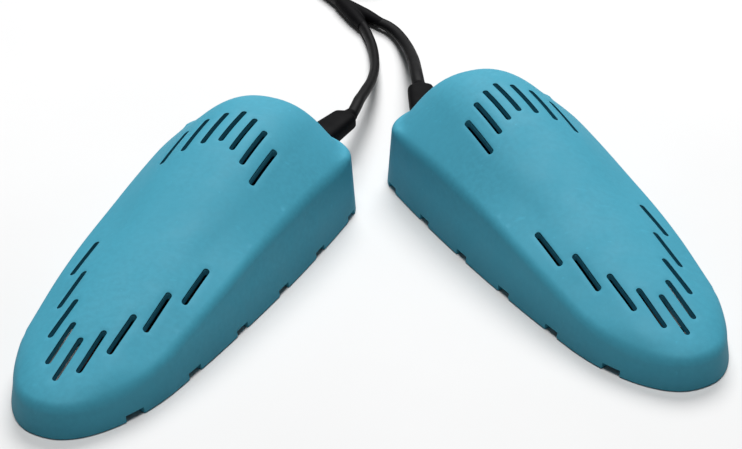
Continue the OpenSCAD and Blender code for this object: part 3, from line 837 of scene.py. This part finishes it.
def add_splitter():
    """Two moulded legs that grow out of the leads and run together, smoothed into one piece."""
    work = bmesh.new()
    out = np.array(SPLIT_OUT)
    for route in (left_route, right_route):
        before, end = np.array(route[-2]), np.array(route[-1])
        run = out - end
        corners = [end + (before - end) * 0.35, end, end + run * 0.4, end + run * 0.75, out]
        path = smooth_path(corners, SPLITTER_STEP)
        skin = tube_rings(path, *SPLITTER_OVAL, 24)
        rings = []
        for t, centre, ring in zip(np.linspace(0, 1, len(path)), path, skin):
            rings.append([centre + (p - centre) * leg_size(t) for p in ring])
        points, faces = loft(rings)
        verts = [work.verts.new([x * MM for x in p]) for p in points]
        for face in faces:
            work.faces.new([verts[k] for k in face])
    mesh = bpy.data.meshes.new("splitter")
    bmesh.ops.recalc_face_normals(work, faces=work.faces)
    work.to_mesh(mesh)
    work.free()
    piece = bpy.data.objects.new("splitter", mesh)
    scene.collection.objects.link(piece)
    remesh = piece.modifiers.new("join", "REMESH")
    remesh.mode = "VOXEL"
    remesh.voxel_size = SPLITTER_VOXEL * MM
    soften = piece.modifiers.new("soften", "SMOOTH")
    soften.iterations = 14
    soften.factor = 0.6
    apply_modifiers(piece)
    piece.data.materials.append(materials["boot"])
    piece.data.shade_smooth()
    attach(piece, "cord")
    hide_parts("cord_splitter")
    return piece


def apply_modifiers(piece):
    """Keeps the mesh that the piece's modifiers make, and drops the modifiers."""
    bpy.context.view_layer.update()
    shown = piece.evaluated_get(bpy.context.evaluated_depsgraph_get())
    mesh = bpy.data.meshes.new_from_object(shown)
    piece.modifiers.clear()
    piece.data = mesh


def add_trunk():
    path = smooth_path(trunk_route + coil_points() + tail_route, TRUNK_STEP)
    trunk = mesh_piece("trunk_and_coil", *loft(tube_rings(path, TRUNK_D, TRUNK_D, 16)), ["cord"], "cord")
    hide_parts("trunk_cord", "cord_coil", "plug_tail")
    return trunk, path


TIE_THICK, TIE_HALF, TIE_GAP = 0.7, 4, 0.1
TIE_ROUND_LEN, TIE_ROUND_DROP = 0.3, 0.25
TIE_SIDES, TIE_SQUARENESS = 48, 7


def add_tie():
    """A flat strap round all the turns, with its outer edges rounded off."""
    span, tall = COIL_COLUMNS * TRUNK_D, 2 * TRUNK_D
    middle_z = COIL_Z + TRUNK_D / 2
    base_y = COIL_AT[1] - COIL_R
    n = TIE_SIDES
    inside = (span / 2 + TIE_GAP, tall / 2 + TIE_GAP)
    outside = (inside[0] + TIE_THICK, inside[1] + TIE_THICK)
    angles = np.arange(n) * 2 * math.pi / n
    inner_ring = [oval_point(a, *inside, TIE_SQUARENESS) for a in angles]
    outer_ring = [oval_point(a, *outside, TIE_SQUARENESS) for a in angles]
    points, faces = [], []
    flat_half = TIE_HALF - TIE_ROUND_LEN
    stations = [(-TIE_HALF, TIE_ROUND_DROP), (-flat_half, 0), (flat_half, 0), (TIE_HALF, TIE_ROUND_DROP)]
    for x, _ in stations:
        points += [(COIL_AT[0] + x, base_y + y, middle_z + z) for y, z in inner_ring]
    for x, drop in stations:
        keep = 1 - drop / (span / 2)
        points += [(COIL_AT[0] + x, base_y + y * keep, middle_z + z * keep) for y, z in outer_ring]
    rows = len(stations)
    for j in range(n):
        k = (j + 1) % n
        for r in range(rows - 1):
            out = rows + r
            faces.append((r * n + j, r * n + k, (r + 1) * n + k, (r + 1) * n + j))
            faces.append((out * n + j, (out + 1) * n + j, (out + 1) * n + k, out * n + k))
        faces.append((j, k, rows * n + k, rows * n + j))
        faces.append(((rows - 1) * n + j, (2 * rows - 1) * n + j, (2 * rows - 1) * n + k, (rows - 1) * n + k))
    tie = mesh_piece("coil_strap", points, faces, ["tie"], "cord")
    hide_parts("coil_tie")
    return tie


# ---------------------------------------------------------------- plug
PLUG_AT = (26, 284, 7)
PLUG_SIDES, PIN_SIDES = 56, 28
PIN_X, PIN_PITCH = 57, 18.6
# x, width, height, squareness: three ribs of the sleeve, then the body
plug_sections = [
    (0, 5.6, 5.6, 2), (0.4, 6.6, 6.6, 2), (2.6, 6.8, 6.8, 2), (3, 6.0, 6.0, 2),
    (4.2, 6.0, 6.0, 2), (4.6, 7.2, 7.2, 2), (6.8, 7.4, 7.4, 2), (7.2, 6.5, 6.5, 2),
    (8.4, 6.5, 6.5, 2), (8.8, 7.7, 7.7, 2), (11, 8.0, 7.9, 2), (11.4, 7.0, 7.0, 2),
    (12.6, 7.0, 7.0, 2), (13, 8.3, 8.2, 2), (18, 9.0, 8.8, 2.1), (21, 10.4, 9.6, 2.4),
    (24, 13.6, 10.8, 2.8), (28, 18.6, 12.2, 3.2), (32, 22.8, 13.2, 3.6), (36, 25.2, 13.7, 4),
    (40, 25.9, 13.8, 4.2), (46, 25.6, 13.6, 4.2), (52, 24.4, 13.2, 4.2), (55.6, 23.4, 12.9, 4.2),
    (56.6, 22.8, 12.4, 4.2), (57, 21.6, 11.4, 4.2),
]
# x, radius, 1 where the metal is bare
pin_profile = [
    (0, 1.9, 0), (0.01, 2.3, 0), (0.5, 2.3, 0), (0.7, 1.94, 0), (9.4, 1.94, 0),
    (9.6, 2.0, 1), (17.6, 2.0, 1), (18.5, 1.7, 1), (18.9, 1.2, 1), (19, 0.6, 1),
]


def plug_point(x, y, z):
    return PLUG_AT[0] + x, PLUG_AT[1] + y, PLUG_AT[2] + z


def add_plug():
    rings = []
    for x, wide, high, squareness in plug_sections:
        angles = np.arange(PLUG_SIDES) * 2 * math.pi / PLUG_SIDES
        ring = [oval_point(a, wide / 2, high / 2, squareness) for a in angles]
        rings.append([plug_point(x, y, z) for y, z in ring])
    body = mesh_piece("plug_housing", *loft(rings), ["plug"], "cord", sharp=45)
    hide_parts("plug_body")
    return body


def add_pins():
    """Both pins as one piece: an insulating sleeve, then the bare metal with a rounded tip."""
    points, faces, face_slots = [], [], []
    angles = np.arange(PIN_SIDES) * 2 * math.pi / PIN_SIDES
    for s in (-1, 1):
        rings = []
        for x, r, _ in pin_profile:
            ring = [(s * PIN_PITCH / 2 + r * math.cos(a), r * math.sin(a)) for a in angles]
            rings.append([plug_point(PIN_X + x, y, z) for y, z in ring])
        first = len(points)
        ring_points, ring_faces = loft(rings)
        points += ring_points
        faces += [tuple(first + k for k in f) for f in ring_faces]
        for _, _, bare in pin_profile[:-1]:
            face_slots += [bare] * PIN_SIDES
        face_slots += [0, 1]
    pins = mesh_piece("plug_contacts", points, faces, ["sleeve", "nickel"], "cord", face_slots)
    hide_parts("plug_pins")
    return pins


# ---------------------------------------------------------------- CAD parts that stay
NODE_MATERIALS = {
    "lower_cover": "cover", "cover_screws": "steel", "clamp_screws": "steel", "mica_sheet": "mica",
    "heater_core": "heater", "heater_film": "film", "heat_spreader": "spreader", "terminals": "brass",
    "live_wire": "brown", "fuse_wire": "brown", "neutral_wire": "blue", "thermal_fuse": "fuse",
    "cord_clamp": "clamp", "cord_tail": "cord",
}
SWEPT = ("live_wire", "fuse_wire", "neutral_wire", "cord_tail")
WELD_GAP, SOFT_EDGE = 0.01, 0.18


def dress_cad_nodes():
    """The carried-over CAD nodes get their material, and soft edges or a smooth sweep by modifier."""
    for side in SIDES:
        for part, slot in NODE_MATERIALS.items():
            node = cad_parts[f"{side}_{part}"]
            node.data.materials.clear()
            node.data.materials.append(materials[slot])
            weld = node.modifiers.new("weld", "WELD")
            weld.merge_threshold = WELD_GAP * MM
            if part in SWEPT:
                swept = node.modifiers.new("sweep", "SUBSURF")
                swept.levels = swept.render_levels = 2
            else:
                edge = node.modifiers.new("edges", "BEVEL")
                edge.width = SOFT_EDGE * MM
                edge.segments = 2
                edge.limit_method = "ANGLE"
                edge.angle_limit = math.radians(40)
                edge.harden_normals = True


# ---------------------------------------------------------------- build
FLOOR_HALF, FLOOR_Z = 6, -0.0002


def add_floor():
    material, tree, shader = new_material("floor")
    tone = add_ramp(tree, add_noise(tree, 6, 4), [(0.3, 0.70), (0.7, 0.73)])
    tree.links.new(tone, shader.inputs["Base Color"])
    shader.inputs["Roughness"].default_value = 0.9
    mesh = bpy.data.meshes.new("floor")
    corners = [(x * FLOOR_HALF, y * FLOOR_HALF, 0) for x, y in ((-1, -1), (1, -1), (1, 1), (-1, 1))]
    mesh.from_pydata(corners, [], [(0, 1, 2, 3)])
    mesh.materials.append(material)
    floor = bpy.data.objects.new("floor", mesh)
    floor.location.z = FLOOR_Z
    scene.collection.objects.link(floor)


add_camera()
leads = add_leads()
splitter = add_splitter()
trunk, trunk_path = add_trunk()
tie = add_tie()
plug = add_plug()
pins = add_pins()
add_shells()
boots = add_reliefs()
dress_cad_nodes()
add_floor()
add_light("key", at=(0.1, 1.0, 1.2), size=0.9, power=21)
add_light("fill", at=(0.0, -0.12, 1.6), size=0.7, power=17)
add_world(colour=(1, 1, 1), strength=0.08)
scene.view_settings.view_transform = "Standard"
